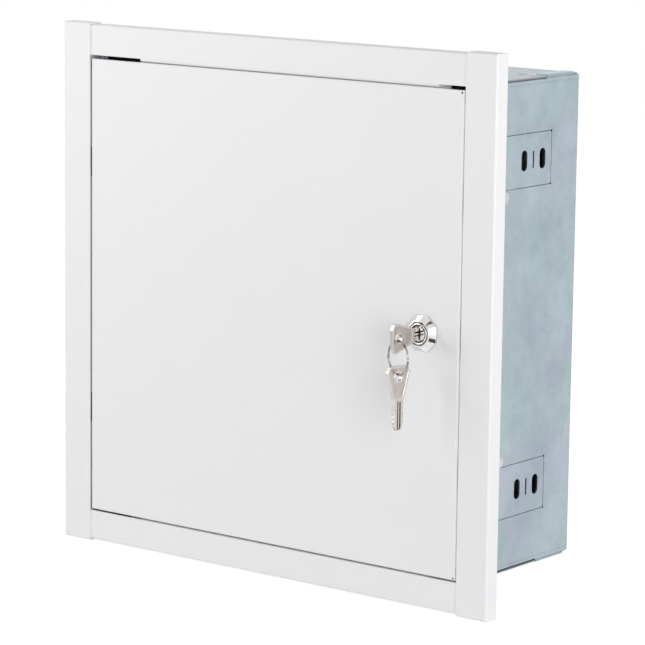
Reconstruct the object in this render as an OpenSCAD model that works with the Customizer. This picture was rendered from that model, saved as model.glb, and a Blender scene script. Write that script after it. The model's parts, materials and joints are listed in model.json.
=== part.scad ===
// Recessed steel wall enclosure: a galvanised box that is built into a wall,
// a coated front frame, a flush hinged door with a cam lock, and its two keys.
// X runs along the front, Z is up, and -Y faces the room. The origin is the
// middle of the box's rear face.

/* [Box] */
// Width of the box over its side walls
body_w = 310; // [290:1:420]
// Height of the box over its top and bottom walls
body_h = 310; // [290:1:420]
// Depth from the frame's face to the rear face of the box
depth = 120; // [110:1:160]
// Distance of the box's front edge behind the frame's face
body_setback = 16; // [15:0.5:20]
// Sheet thickness of the box
body_t = 1; // [0.8:0.1:1.2]
// Width of the flanges under the top and bottom walls
wall_flange = 12; // [10:0.5:15]
// Width of the tabs that are folded over the top and bottom walls
lock_tab_w = 9; // [7:0.5:11]
// Length of the tabs that are folded over the top and bottom walls
lock_tab_l = 30; // [20:1:36]
// Depth of the flange behind the top and bottom walls
rear_flange = 12; // [8:1:16]

/* [Anchor tabs] */
// Height of the anchor tabs' middle above and below the box's middle
anchor_z = 104; // [102:0.5:120]
// Height of an anchor tab
anchor_h = 34; // [30:1:36]
// Length of an anchor tab from its bend to its free end
anchor_l = 57; // [50:1:60]
// Distance of the bend behind the frame's face
anchor_bend = 33; // [28:1:36]
// Width of the cut round an anchor tab
anchor_cut = 0.4; // [0.3:0.1:1]
// Width of the slit between the two slots of a tab
anchor_slit = 1.5; // [1:0.1:2]
// Width of the anchor slots
anchor_slot_w = 6.5; // [4:0.5:7]
// Length of the anchor slots
anchor_slot_l = 13; // [9:0.5:16]
// Distance between the two slots of a tab
anchor_slot_pitch = 20; // [16:1:22]
// Distance of the rear slot from the tab's free end
anchor_slot_edge = 10; // [8:0.5:12]

/* [Rear wall] */
// Spacing of the fixing holes in the rear wall, across and upwards
fixing_pitch = 270; // [260:1:276]
// Diameter of the fixing holes in the rear wall
fixing_d = 6.5; // [4:0.5:8]

/* [Cable knockouts] */
// Number of knockouts in the top wall and in the bottom wall
knockout_n = 4; // [2:1:5]
// Diameter of a knockout
knockout_d = 25; // [16:0.5:32]
// Spacing of the knockouts
knockout_pitch = 50; // [40:1:55]
// Width of the cut round a knockout
knockout_cut = 0.8; // [0.5:0.1:1.2]
// Width of the webs that hold a knockout
knockout_web = 3; // [2:0.5:5]

/* [Mounting plate] */
// Width and height of the mounting plate
plate_size = 250; // [230:1:256]
// Thickness of the mounting plate
plate_t = 1.5; // [1:0.1:2.5]
// Depth of the plate's folded edges
plate_fold = 8; // [5:0.5:10]
// Spacing of the studs that carry the plate
stud_pitch = 220; // [190:1:224]
// Free height between the rear wall and the plate
plate_gap = 16; // [12:0.5:24]
// Thread diameter of the studs
stud_d = 6; // [4:0.5:8]
// Spacing of the slots in the plate, across
rail_slot_dx = 180; // [120:1:200]
// Spacing of the slots in the plate, upwards
rail_slot_dz = 125; // [60:1:160]
// Width of the slots in the plate
rail_slot_w = 5.3; // [4:0.1:6.5]
// Length of the slots in the plate
rail_slot_l = 20; // [12:1:26]

/* [Frame] */
// How far the frame reaches beyond the box on each side
trim = 20; // [18:0.5:26]
// How far the stiles stand in over the box's side walls
side_cover = 2; // [1.5:0.1:2.5]
// Sheet thickness of the frame
frame_t = 1; // [0.8:0.1:1.2]
// Depth of the frame's outer return
return_d = 11; // [8:0.5:14]
// Outer radius of the folds
bend_r = 1.5; // [1.3:0.1:2]
// How far the rails run behind the stiles
rail_lap = 17; // [8:1:18]

/* [Frame fixing] */
// Width of the frame's arms
arm_w = 20; // [14:1:22]
// Sheet thickness of the frame's arms
arm_t = 1; // [0.8:0.1:1.2]
// Height of the arms' middle above and below the box's middle
arm_z = 83; // [60:1:84]
// Distance of the clamp screws behind the frame's face
arm_screw_y = 37; // [36:1:46]
// Travel that the slot in an arm gives the frame when it is set
arm_travel = 14; // [8:1:18]
// Thread diameter of the clamp screws
arm_screw_d = 4; // [3:0.5:5]
// Outer diameter of the round nuts on the side walls
clinch_d = 7; // [6.5:0.1:8]
// Height of the round nuts on the side walls
clinch_h = 2.6; // [2:0.1:4]

/* [Door] */
// Gap at each side of the door
side_gap = 1.25; // [1:0.05:1.5]
// Gap above the door
top_gap = 2.4; // [2:0.1:4]
// Gap below the door
bottom_gap = 1.2; // [1:0.1:2]
// Sheet thickness of the door
door_t = 1; // [0.8:0.1:1.2]
// Depth of the door's folded edges
door_flange = 14; // [12:0.5:14]
// Length of the cut-out in the flanges on the hinge side
notch_hinge = 41; // [37:1:45]
// Length of the cut-out in the flanges on the lock side
notch_lock = 20; // [8:1:32]
// Height of the cut-outs at the door's corners
notch_h = 8; // [7:0.5:10]

/* [Hinges] */
// Distance of the hinge axis from the door's edge
hinge_in = 8; // [8:0.5:10]
// Distance of the hinge axis behind the door's face
hinge_back = 5.5; // [5.5:0.1:6]
// Diameter of the hinge pins
pin_d = 4; // [3:0.1:4.4]
// Running clearance round a hinge pin, on the radius
pin_clear = 0.05; // [0.02:0.01:0.1]
// Sheet thickness of the hinge lugs and leaves
lug_t = 2; // [1.5:0.1:2.2]
// Outer diameter of the spacers on the pins
spacer_d = 6.8; // [6:0.1:7]

/* [Lock] */
// Distance of the lock from the frame's inner edge
lock_in = 29; // [27:0.5:32]
// Width of the bezel over its corners
bezel_w = 24.5; // [22:0.1:26]
// Height of the bezel in front of the door
bezel_h = 4.8; // [4:0.1:8]
// Width of the bezel's front face over its corners
bezel_face_w = 17; // [16.5:0.1:19]
// Diameter of the threaded barrel
barrel_d = 18.8; // [18:0.1:20]
// Width of the barrel over its two flats
barrel_flat = 15.8; // [15.5:0.1:17]
// Clearance round the barrel in the door
barrel_clear = 0.2; // [0.1:0.05:0.4]
// Diameter of the turning plug
plug_d = 12; // [11.5:0.1:12.5]
// Diameter of the plug's head
plug_head_d = 14; // [13.5:0.1:14.5]
// Clearance round the plug, on the radius
plug_clear = 0.05; // [0.03:0.01:0.1]
// Width of the lock nut over its flats
lock_nut_af = 22; // [21.5:0.5:24]
// Thickness of the lock nut
lock_nut_h = 4; // [3:0.5:6]
// Thickness of the cam
cam_t = 2; // [1.5:0.1:2.5]
// Reach of the cam from the lock's axis
cam_reach = 29; // [27:0.5:29.5]
// Width of the cam
cam_w = 12; // [10:0.5:14]
// Side of the square that turns the cam
cam_square = 7; // [6:0.1:8]

/* [Keys] */
// Length of a key's bow
bow_l = 22; // [19:0.5:24]
// Width of a key's bow
bow_w = 18.5; // [16:0.5:22]
// Length of a key's blade
blade_l = 18; // [16:0.5:20]
// Width of a key's blade
blade_w = 8; // [7:0.1:8.5]
// Thickness of a key
key_t = 2.2; // [1.8:0.1:2.4]
// Diameter of the hole in a key's bow
bow_hole_d = 5; // [4.5:0.1:5.5]
// Distance of that hole from the end of the bow
bow_hole_in = 7; // [6:0.5:8]
// Depth that the blade stands in the plug
blade_depth = 13; // [11:0.5:14]
// Mean radius of the key ring
ring_r = 10.5; // [9.5:0.1:13]
// Wire diameter of the key ring
ring_wire = 1.3; // [1:0.1:1.5]
// Turn of the key ring out of the door's plane
ring_turn = 19; // [0:1:22]

/* [Hidden] */
$fn = 48;
eps = 0.02;
seat = 0.05;          // gap between plates that lie on each other
rest_gap = 0.3;       // gap between loose or closing pieces

// Planes along the depth
front_y = -depth;
body_front_y = front_y + body_setback;
door_back_y = front_y + door_t;

// Box
inner_x = body_w / 2 - body_t;
inner_z = body_h / 2 - body_t;
wall_edge_y = -6;                        // rear end of the folded-over tabs
lock_tab_y = wall_edge_y - lock_tab_l;   // their front end
flange_front_y = body_front_y + 6;
flange_rear_y = lock_tab_y - 1.5;
rivet_d = 3;
rivet_head_d = 5.5;
rivet_head_h = 1.2;
rivet_x = body_w / 2 - 8.5;
hook_slot_x = rivet_x - 8;

// Frame
frame_w = body_w + 2 * trim;
frame_h = body_h + 2 * trim;
opening_w = 2 * (inner_x - side_cover);
opening_h = 2 * inner_z;
frame_back_y = front_y + frame_t;        // back of the stiles' faces
rail_back_y = front_y + 2 * frame_t;     // back of the rails' faces
arm_x = inner_x - seat - arm_t;
arm_slot_w = arm_screw_d + 0.6;
arm_tail = 9;
arm_end_y = front_y + arm_screw_y + arm_travel / 2 + arm_tail;
arm_foot = trim - side_cover;
arm_head_d = 2 * arm_screw_d;
arm_head_h = 2.4;

// Door
door_w = opening_w - 2 * side_gap;
door_h = opening_h - top_gap - bottom_gap;
door_top = opening_h / 2 - top_gap;
door_bottom = door_top - door_h;
relief_d = 1.6;

// Hinges
hinge_x = -door_w / 2 + hinge_in;
hinge_y = front_y + hinge_back;
leaf_top = door_top - bend_r - seat;     // top of the upper ear, clear of the door's fold
leaf_low = -door_bottom - bend_r - seat; // the lower ear, measured downwards
lug_l = 32;                              // length of a lug along the rail
leaf_l = 30;                             // length of a leaf along the door
ear_end = 7.5;                           // pin to the end of a lug or leaf
lug_depth = hinge_back + 5;
flange_from_pin = 5;                     // pin to the upright flange
lug_flange = 13;
leaf_flange = 18;
pin_head_d = 7;
pin_head_h = 1.5;

// Lock
lock_x = opening_w / 2 - lock_in;
strike_t = 1.2;
strike_y = front_y + door_flange + rest_gap;   // face that stops the door
cam_y = strike_y + strike_t + 0.4;             // front of the cam
plug_front_y = front_y - bezel_h;
barrel_end_y = cam_y - 0.2;
plug_head_h = 1.6;
cam_bolt_d = 4;
cam_bolt_l = 10;
cam_bolt_head_d = 8;
cam_bolt_head_h = 2.6;
cam_washer_t = 1;
cam_washer_d = 9.6;
cam_bolt_head_y = cam_y + cam_t + cam_washer_t + 2 * seat;   // face under its head
cam_bolt_end_y = cam_bolt_head_y - cam_bolt_l;
lock_hole_d = barrel_d + 2 * barrel_clear;
lock_hole_flat = barrel_flat + 2 * barrel_clear;

// Strike and door stops
strike_h = 26;
strike_lip = 7;
stop_t = 1;
stop_foot = 9;
stop_lip = 3.5;

// Mounting plate
plate_back_y = -body_t - plate_gap;
plate_front_y = plate_back_y - plate_t;
nut_h = 5;
nut_af = 10;
washer_t = 1.2;
washer_d = 12;
spacer_od = 10;

// Earth stud
earth_x = -(plate_size / 2 + inner_x) / 2;   // midway between the plate and the side wall
earth_z = -60;
earth_d = 6;
earth_l = 16;

// Keys
keyway_clear = 0.12;
key_end_y = plug_front_y + blade_depth - blade_l - bow_l;  // outer end of the bow
key_hole_y = key_end_y + bow_hole_in;
ring_top_z = -bow_hole_d / 2 + ring_wire / 2 + rest_gap;   // upper wire of the ring
ring_mid_z = ring_top_z - ring_r;
ring_low_z = ring_top_z - 2 * ring_r;
spare_hole_z = ring_low_z + ring_wire / 2 - bow_hole_d / 2 + rest_gap;
spare_turn = ring_turn / 2;

// Colours
zinc = "#aebcc6";
white_coat = "#eeeef0";
plated = "#c8cacd";
chrome = "#d9dade";
nickel = "#b9b2a8";
plate_zinc = "#b4bcc0";

// ---- Shared forms ------------------------------------------------------------

// A copy on each side of the middle plane across X
module both_sides() {
    children();
    mirror([1, 0, 0]) children();
}

// A copy above and below the middle plane
module above_below() {
    children();
    mirror([0, 0, 1]) children();
}

// Places a shape drawn along +Z so that it runs towards the room
module facing_front(x, y, z = 0) {
    translate([x, y, z]) rotate([90, 0, 0]) children();
}

// Places a shape drawn along +Z so that it runs towards +X
module facing_right(x, y, z) {
    translate([x, y, z]) rotate([0, 90, 0]) children();
}

// A rectangle w wide and d deep, with round corners on its y = 0 side
module round_front(w, d, r) {
    translate([-w / 2 + r, 0]) square([w - 2 * r, d]);
    translate([-w / 2, r]) square([w, d - r]);
    for (side = [-1, 1])
        translate([side * (w / 2 - r), r]) circle(r);
}

// A block whose four front edges are round
module round_block(w, h, d, r) {
    intersection() {
        linear_extrude(h, center = true) round_front(w, d, r);
        rotate([0, -90, 0]) linear_extrude(w, center = true) round_front(h, d, r);
    }
}

// A folded tray, open at the rear
module tray(w, h, d, t, r) {
    difference() {
        round_block(w, h, d, r);
        translate([0, t, 0]) round_block(w - 2 * t, h - 2 * t, d, r - t);
    }
}

// An angle section with its outer corner at the origin and a round fold
module angle_section(a, b, t, r) {
    translate([r, 0]) square([a - r, t]);
    translate([0, r]) square([t, b - r]);
    intersection() {
        square(r);
        difference() {
            translate([r, r]) circle(r);
            translate([r, r]) circle(r - t);
        }
    }
}

// A slot with round ends, along X
module obround(l, w) {
    square([l - w, w], center = true);
    for (side = [-1, 1])
        translate([side * (l - w) / 2, 0]) circle(d = w);
}

// A flat ring
module washer(od, id, t) {
    difference() {
        cylinder(d = od, h = t);
        translate([0, 0, -1]) cylinder(d = id, h = t + 2);
    }
}

// A hexagon nut
module hex_nut(af, bore, h) {
    difference() {
        cylinder(d = af / cos(30), h = h, $fn = 6);
        translate([0, 0, -1]) cylinder(d = bore, h = h + 2);
    }
}

// ---- Galvanised box ------------------------------------------------------------

// The flange of a side wall that carries the top wall
module carrying_flange() {
    run = flange_rear_y - flange_front_y;
    translate([body_w / 2, flange_rear_y, inner_z]) rotate([90, 180, 0])
        linear_extrude(run) angle_section(wall_flange, 3 * bend_r, body_t, bend_r);
}

// The tab of a side wall that is folded over the top wall
module locking_tab() {
    translate([body_w / 2, wall_edge_y, body_h / 2 + body_t + seat]) rotate([90, 180, 0])
        linear_extrude(lock_tab_l)
            angle_section(lock_tab_w, 2 * body_t + seat + 1, body_t, bend_r);
}

// The corner that a carrying flange's fold takes from its side wall
module flange_relief() {
    run = flange_rear_y - flange_front_y;
    translate([inner_x - 1, flange_front_y, inner_z - 3 * bend_r + eps])
        cube([body_t + 2, run, 3 * bend_r + 1]);
}

// The cut on three sides of an anchor tab, with round corners
module anchor_tab_cut() {
    free_end = anchor_bend + anchor_l;
    difference() {
        translate([anchor_bend, -anchor_h / 2]) square([anchor_l, anchor_h]);
        translate([anchor_bend - 1, -anchor_h / 2 + anchor_cut])
            square([anchor_l + 1 - anchor_cut, anchor_h - 2 * anchor_cut]);
    }
    for (side = [-1, 1]) {
        translate([free_end - anchor_cut, side * (anchor_h / 2 - anchor_cut)]) circle(r = 2 * anchor_cut);
        translate([anchor_bend, side * (anchor_h - anchor_cut) / 2]) circle(r = 2 * anchor_cut);
    }
}

// The two fixing slots of an anchor tab and the slit between them
module anchor_slots() {
    rear_slot = anchor_bend + anchor_l - anchor_slot_edge;
    for (place = [rear_slot - anchor_slot_pitch, rear_slot])
        translate([place, 0]) rotate(90) obround(anchor_slot_l, anchor_slot_w);
    translate([rear_slot - anchor_slot_pitch / 2, 0]) rotate(90) obround(anchor_slot_l - 2, anchor_slit);
}

module body_shell() {
    wall_d = depth - body_setback;
    color(zinc) difference() {
        union() {
            difference() {
                mirror([0, 1, 0]) linear_extrude(2 * inner_z, center = true) difference() {
                    round_front(body_w, wall_d, bend_r);
                    translate([0, body_t]) round_front(2 * inner_x, wall_d, bend_r - body_t);
                }
                both_sides() above_below() flange_relief();
            }
            both_sides() above_below() {
                carrying_flange();
                locking_tab();
            }
        }
        both_sides() above_below()
            translate([inner_x - 1, front_y, anchor_z]) rotate([90, 0, 90])
                linear_extrude(body_t + 2) {
                    anchor_tab_cut();
                    anchor_slots();
                }
        both_sides() above_below()
            facing_right(inner_x - 1, front_y + arm_screw_y, arm_z)
                cylinder(d = arm_screw_d + 2 * seat, h = body_t + 2);
        both_sides() above_below()
            facing_front(fixing_pitch / 2, 1, fixing_pitch / 2)
                cylinder(d = fixing_d, h = body_t + 2);
        both_sides() above_below() wall_rivet_holes();
    }
}

// Middles of the rivets along one flange
function rivet_places() = [flange_front_y + 6, flange_rear_y - 3.5];

module wall_rivet_holes() {
    for (place = rivet_places())
        translate([rivet_x, place, inner_z - 2 * body_t])
            cylinder(d = rivet_d + 2 * seat, h = 4 * body_t);
}

// The ring-shaped cut of one knockout, broken by two webs
module knockout() {
    difference() {
        circle(d = knockout_d);
        circle(d = knockout_d - 2 * knockout_cut);
        square([knockout_d + 2, knockout_web], center = true);
    }
}

// The top wall: it lies on the carrying flanges and under the folded-over tabs
module wall_plate() {
    plate_d = depth - body_setback - body_t - seat;
    middle_y = (body_front_y - body_t) / 2;
    difference() {
        union() {
            translate([-body_w / 2, body_front_y, inner_z + seat]) cube([body_w, plate_d, body_t]);
            translate([-inner_x + 2, -2 * body_t - seat, inner_z + body_t + seat - rear_flange])
                cube([2 * inner_x - 4, body_t, rear_flange]);
        }
        both_sides()
            translate([body_w / 2 - bend_r - seat, lock_tab_y - seat, inner_z - 1])
                cube([bend_r + 2, depth, 2 * body_t + 2]);
        both_sides() wall_rivet_holes();
        both_sides()
            translate([hook_slot_x, rivet_places()[1], inner_z - 1])
                linear_extrude(2 * body_t + 2) obround(6.5, 2.4);
        for (i = [0 : knockout_n - 1])
            translate([(i - (knockout_n - 1) / 2) * knockout_pitch, middle_y, inner_z - 1])
                linear_extrude(2 * body_t + 2) knockout();
    }
}

module top_wall() {
    color(zinc) wall_plate();
}

module bottom_wall() {
    color(zinc) mirror([0, 0, 1]) wall_plate();
}

// Rivets that hold the top wall to the carrying flanges
module wall_rivets() {
    both_sides() for (place = rivet_places())
        translate([rivet_x, place, 0]) {
            translate([0, 0, inner_z + body_t + seat]) intersection() {
                cylinder(d = rivet_head_d, h = rivet_head_h);
                translate([0, 0, rivet_head_h - rivet_head_d]) sphere(rivet_head_d);
            }
            translate([0, 0, inner_z - body_t - 0.6]) cylinder(d = rivet_d, h = 2 * body_t + 0.7 + seat);
            translate([0, 0, inner_z - body_t - 0.9]) cylinder(d = rivet_d + 1.4, h = 0.9 - seat);
        }
}

module top_rivets() {
    color(plated) wall_rivets();
}

module bottom_rivets() {
    color(plated) mirror([0, 0, 1]) wall_rivets();
}

// ---- Mounting plate and earth stud ---------------------------------------------

// One copy at each stud that carries the mounting plate
module at_studs(y) {
    both_sides() above_below()
        facing_front(stud_pitch / 2, y, stud_pitch / 2) children();
}

module plate_studs() {
    length = plate_gap + plate_t + washer_t + nut_h + 4;
    color(plated) at_studs(-body_t) {
        cylinder(d = stud_d, h = length);
        cylinder(d = stud_d + 1.5, h = 0.8);
    }
}

module plate_spacers() {
    color(plated) at_studs(-body_t - 0.8 - seat)
        washer(spacer_od, stud_d + 2 * seat, plate_gap - 0.8 - 2 * seat);
}

module mounting_plate() {
    color(plate_zinc) difference() {
        translate([0, plate_front_y, 0]) intersection() {
            tray(plate_size, plate_size, plate_fold, plate_t, plate_t + 0.5);
            union() {
                cube([plate_size - 2 * plate_fold, 4 * plate_fold, plate_size + 2], center = true);
                cube([plate_size + 2, 4 * plate_fold, plate_size - 2 * plate_fold], center = true);
            }
        }
        at_studs(plate_back_y + 1) cylinder(d = stud_d + 0.6, h = plate_t + 2);
        both_sides() above_below()
            facing_front(rail_slot_dx / 2, plate_back_y + 1, rail_slot_dz / 2)
                linear_extrude(plate_t + 2) obround(rail_slot_l, rail_slot_w);
    }
}

module plate_washers() {
    color(plated) at_studs(plate_front_y - seat)
        washer(washer_d, stud_d + 2 * seat, washer_t);
}

module plate_nuts() {
    color(plated) at_studs(plate_front_y - washer_t - 2 * seat)
        hex_nut(nut_af, stud_d + 2 * seat, nut_h);
}

module earth_stud() {
    color(plated) facing_front(earth_x, -body_t, earth_z) {
        cylinder(d = earth_d, h = earth_l);
        cylinder(d = earth_d + 1.5, h = 0.8);
    }
}

module earth_washer() {
    color(plated) facing_front(earth_x, -body_t - 0.8 - seat, earth_z)
        washer(washer_d, earth_d + 2 * seat, washer_t);
}

module earth_nut() {
    color(plated) facing_front(earth_x, -body_t - 0.8 - washer_t - 2 * seat, earth_z)
        hex_nut(nut_af, earth_d + 2 * seat, nut_h);
}

// ---- Coated frame --------------------------------------------------------------

// The right stile, which runs the full height and folds round both ends
module stile() {
    color(white_coat) intersection() {
        translate([0, front_y, 0]) tray(frame_w, frame_h, return_d, frame_t, bend_r);
        translate([opening_w / 2, front_y - 1, -frame_h])
            cube([frame_w, return_d + 2, 2 * frame_h]);
    }
}

module stile_left() {
    mirror([1, 0, 0]) stile();
}

module stile_right() {
    stile();
}

// The top rail, one sheet thickness behind and below the stiles' skin
module rail() {
    length = opening_w + 2 * rail_lap;
    color(white_coat) intersection() {
        translate([0, frame_back_y, 0])
            tray(frame_w - 2 * frame_t, frame_h - 2 * frame_t, return_d - frame_t, frame_t, bend_r);
        translate([-length / 2, front_y - 1, opening_h / 2])
            cube([length, return_d + 2, frame_h]);
    }
}

module rail_top() {
    rail();
}

module rail_bottom() {
    mirror([0, 0, 1]) rail();
}

// An arm that is welded behind a stile and is clamped to the box's side wall
module frame_arm() {
    reach = arm_end_y - frame_back_y;
    difference() {
        translate([arm_x, frame_back_y, arm_z - arm_w / 2])
            linear_extrude(arm_w) angle_section(arm_foot, reach, arm_t, bend_r);
        facing_right(arm_x - 1, front_y + arm_screw_y, arm_z) rotate(90)
            linear_extrude(arm_t + 2) obround(arm_travel + arm_slot_w, arm_slot_w);
    }
}

module frame_arms_right() {
    color(plated) above_below() frame_arm();
}

module frame_arms_left() {
    color(plated) mirror([1, 0, 0]) above_below() frame_arm();
}

module frame_screws() {
    color(plated) both_sides() above_below()
        facing_right(arm_x - seat, front_y + arm_screw_y, arm_z) {
            cylinder(d = arm_screw_d, h = arm_t + body_t + clinch_h + 3 * seat);
            translate([0, 0, -arm_head_h]) difference() {
                cylinder(d = arm_head_d, h = arm_head_h);
                translate([0, 0, -1]) cylinder(d = arm_head_d / 2, h = 2.2, $fn = 6);
            }
        }
}

module clinch_nuts() {
    color(plated) both_sides() above_below()
        facing_right(body_w / 2 + seat, front_y + arm_screw_y, arm_z)
            washer(clinch_d, arm_screw_d + 2 * seat, clinch_h);
}

// A stop behind a rail: a folded strip with a lip that the door's flange meets
module door_stop(web_z) {
    start_x = -door_w / 2 + notch_hinge + rest_gap;
    end_x = door_w / 2 - notch_lock - rest_gap;
    reach = strike_y + stop_t - rail_back_y;
    translate([start_x, rail_back_y, web_z]) rotate([90, 0, 90])
        linear_extrude(end_x - start_x) {
            angle_section(reach - bend_r, stop_foot, stop_t, bend_r);
            translate([reach, stop_t]) rotate(180)
                angle_section(reach - bend_r, stop_lip + stop_t, stop_t, bend_r);
        }
}

// The upper stop comes down to the door, so that its foot closes the wide upper gap
module door_stops() {
    color(white_coat) {
        door_stop(door_top + rest_gap);
        mirror([0, 0, 1]) door_stop(opening_h / 2);
    }
}

// The strike: it stops the door, and the cam turns behind it
module strike_plate() {
    color(plated) {
        translate([arm_x, frame_back_y, -strike_h / 2])
            linear_extrude(strike_h) angle_section(arm_foot, door_flange - frame_t, arm_t, bend_r);
        translate([arm_x + arm_t, strike_y + strike_t, -strike_h / 2]) rotate(180)
            linear_extrude(strike_h) angle_section(strike_lip, 4, strike_t, bend_r);
    }
}

// ---- Hinges ---------------------------------------------------------------------

// The lug on the back of the top rail
module lug() {
    color(plated) translate([0, rail_back_y, opening_h / 2])
        difference() {
            union() {
                translate([hinge_x + flange_from_pin, 0, 0]) rotate([90, 0, 90])
                    linear_extrude(lug_l - ear_end - flange_from_pin)
                        angle_section(lug_depth, lug_flange, lug_t, lug_t + 0.5);
                translate([hinge_x - ear_end, seat, 0])
                    cube([ear_end + flange_from_pin + 1, lug_depth - seat, lug_t]);
            }
            translate([hinge_x, hinge_y - rail_back_y, -1])
                cylinder(d = pin_d + 2 * pin_clear, h = lug_t + 2);
        }
}

module hinge_lug_top() {
    lug();
}

module hinge_lug_bottom() {
    mirror([0, 0, 1]) lug();
}

// The leaf behind the door's skin, hanging down from its ear
module leaf() {
    difference() {
        mirror([0, 0, 1]) {
            translate([hinge_x + flange_from_pin, 0, 0]) rotate([90, 0, 90])
                linear_extrude(leaf_l - ear_end - flange_from_pin)
                    angle_section(lug_depth, leaf_flange, lug_t, lug_t + 0.5);
            translate([hinge_x - ear_end + 2, seat, 0])
                cube([ear_end + flange_from_pin - 1, lug_depth - seat, lug_t]);
        }
        translate([hinge_x, hinge_y - door_back_y, -lug_t - 1])
            cylinder(d = pin_d + 2 * seat, h = lug_t + 2);
    }
}

// The pin, from its head under the leaf's ear to above the lug
module hinge_pin(ear_z) {
    length = opening_h / 2 + lug_t + 0.8 - (ear_z - lug_t);
    translate([hinge_x, hinge_y, ear_z - lug_t - seat]) {
        translate([0, 0, -pin_head_h]) cylinder(d = pin_head_d, h = pin_head_h);
        cylinder(d = pin_d, h = length);
    }
}

// The spacer between the leaf's ear and the lug
module hinge_spacer(ear_z) {
    translate([hinge_x, hinge_y, ear_z + seat])
        washer(spacer_d, pin_d + 2 * seat, opening_h / 2 - ear_z - 0.1 - seat);
}

module hinge_leaf_top() {
    color(plated) translate([0, door_back_y, leaf_top]) leaf();
}

module hinge_leaf_bottom() {
    color(plated) mirror([0, 0, 1]) translate([0, door_back_y, leaf_low]) leaf();
}

module hinge_pin_top() {
    color(plated) hinge_pin(leaf_top);
}

module hinge_pin_bottom() {
    color(plated) mirror([0, 0, 1]) hinge_pin(leaf_low);
}

module hinge_spacers() {
    color(plated) {
        hinge_spacer(leaf_top);
        mirror([0, 0, 1]) hinge_spacer(leaf_low);
    }
}

// ---- Door -----------------------------------------------------------------------

// The cut-outs in the flanges at one end of the door
module corner_notches(edge_z) {
    from_y = front_y + bend_r;
    translate([-door_w / 2 - 1, from_y, edge_z - notch_h])
        cube([notch_hinge + 1, door_flange, notch_h + 1]);
    translate([door_w / 2 - notch_lock, from_y, edge_z - notch_h])
        cube([notch_lock + 1, door_flange, notch_h + 1]);
    // The round relief where the two folds of the corner meet
    facing_front(door_w / 2 - bend_r, front_y + door_flange, edge_z - bend_r)
        cylinder(d = relief_d, h = door_flange + 1);
}

module door_panel() {
    color(white_coat) difference() {
        translate([0, front_y, (door_top + door_bottom) / 2])
            tray(door_w, door_h, door_flange, door_t, bend_r);
        corner_notches(door_top);
        mirror([0, 0, 1]) corner_notches(-door_bottom);
        facing_front(lock_x, front_y + door_t + 1) linear_extrude(door_t + 2)
            intersection() {
                circle(d = lock_hole_d);
                square([lock_hole_flat, lock_hole_d + 2], center = true);
            }
    }
}

// ---- Lock -----------------------------------------------------------------------

// The housing: an eight-sided bezel in front, a barrel with two flats behind
module lock_housing() {
    barrel_l = barrel_end_y - front_y;
    color(chrome) difference() {
        union() {
            facing_front(lock_x, front_y - seat) rotate(22.5) {
                cylinder(d = bezel_w, h = 1.2, $fn = 8);
                translate([0, 0, 1.2])
                    cylinder(d1 = bezel_w, d2 = bezel_face_w, h = bezel_h - 1.2 - seat, $fn = 8);
            }
            facing_front(lock_x, barrel_end_y) linear_extrude(barrel_l + 1) intersection() {
                circle(d = barrel_d);
                square([barrel_flat, barrel_d + 2], center = true);
            }
        }
        facing_front(lock_x, barrel_end_y + 1)
            cylinder(d = plug_d + 2 * plug_clear, h = barrel_l + bezel_h + 3);
        facing_front(lock_x, plug_front_y + plug_head_h)
            cylinder(d = plug_head_d + 2 * plug_clear, h = plug_head_h + 1);
    }
}

module lock_nut() {
    color(plated) facing_front(lock_x, door_back_y + lock_nut_h + seat)
        hex_nut(lock_nut_af, barrel_d + 2 * seat, lock_nut_h);
}

// The plug: head, body with keyway, and the square that turns the cam
module lock_plug() {
    length = cam_y - plug_front_y;
    color(chrome) difference() {
        union() {
            facing_front(lock_x, cam_y) cylinder(d = plug_d, h = length);
            facing_front(lock_x, plug_front_y + plug_head_h - seat)
                cylinder(d = plug_head_d, h = plug_head_h - seat);
            translate([lock_x - cam_square / 2, cam_y - 1, -cam_square / 2])
                cube([cam_square, cam_t + 1 - 0.1, cam_square]);
        }
        translate([lock_x - key_t / 2 - keyway_clear, plug_front_y - 1, -blade_w / 2 - keyway_clear])
            cube([key_t + 2 * keyway_clear, blade_depth + 2, blade_w + 2 * keyway_clear]);
        facing_front(lock_x, cam_y + cam_t + 1)
            cylinder(d = cam_bolt_d + 2 * seat, h = cam_y + cam_t + 1 - (cam_bolt_end_y - rest_gap));
    }
}

// The cam, which hangs down when the lock is open
module lock_cam() {
    color(plated) facing_front(lock_x, cam_y + cam_t) linear_extrude(cam_t) difference() {
        union() {
            circle(d = cam_w + 4);
            translate([-cam_w / 2, -cam_reach + cam_w / 4]) square([cam_w, cam_reach - cam_w / 4]);
            translate([-cam_w / 4, -cam_reach]) square([cam_w / 2, cam_w / 2]);
            for (side = [-1, 1])
                translate([side * cam_w / 4, -cam_reach + cam_w / 4]) circle(r = cam_w / 4);
        }
        square(cam_square + 0.2, center = true);
    }
}

module cam_washer() {
    color(plated) facing_front(lock_x, cam_y + cam_t + seat + cam_washer_t)
        washer(cam_washer_d, cam_bolt_d + 2 * seat, cam_washer_t);
}

module cam_screw() {
    color(plated) {
        facing_front(lock_x, cam_bolt_head_y) cylinder(d = cam_bolt_d, h = cam_bolt_l);
        facing_front(lock_x, cam_bolt_head_y + cam_bolt_head_h) difference() {
            cylinder(d = cam_bolt_head_d, h = cam_bolt_head_h);
            translate([0, 0, -1]) for (turn = [0, 90])
                rotate(turn) translate([-2.2, -0.5, 0]) cube([4.4, 1, 2.2]);
        }
    }
}

// ---- Keys -----------------------------------------------------------------------

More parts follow.
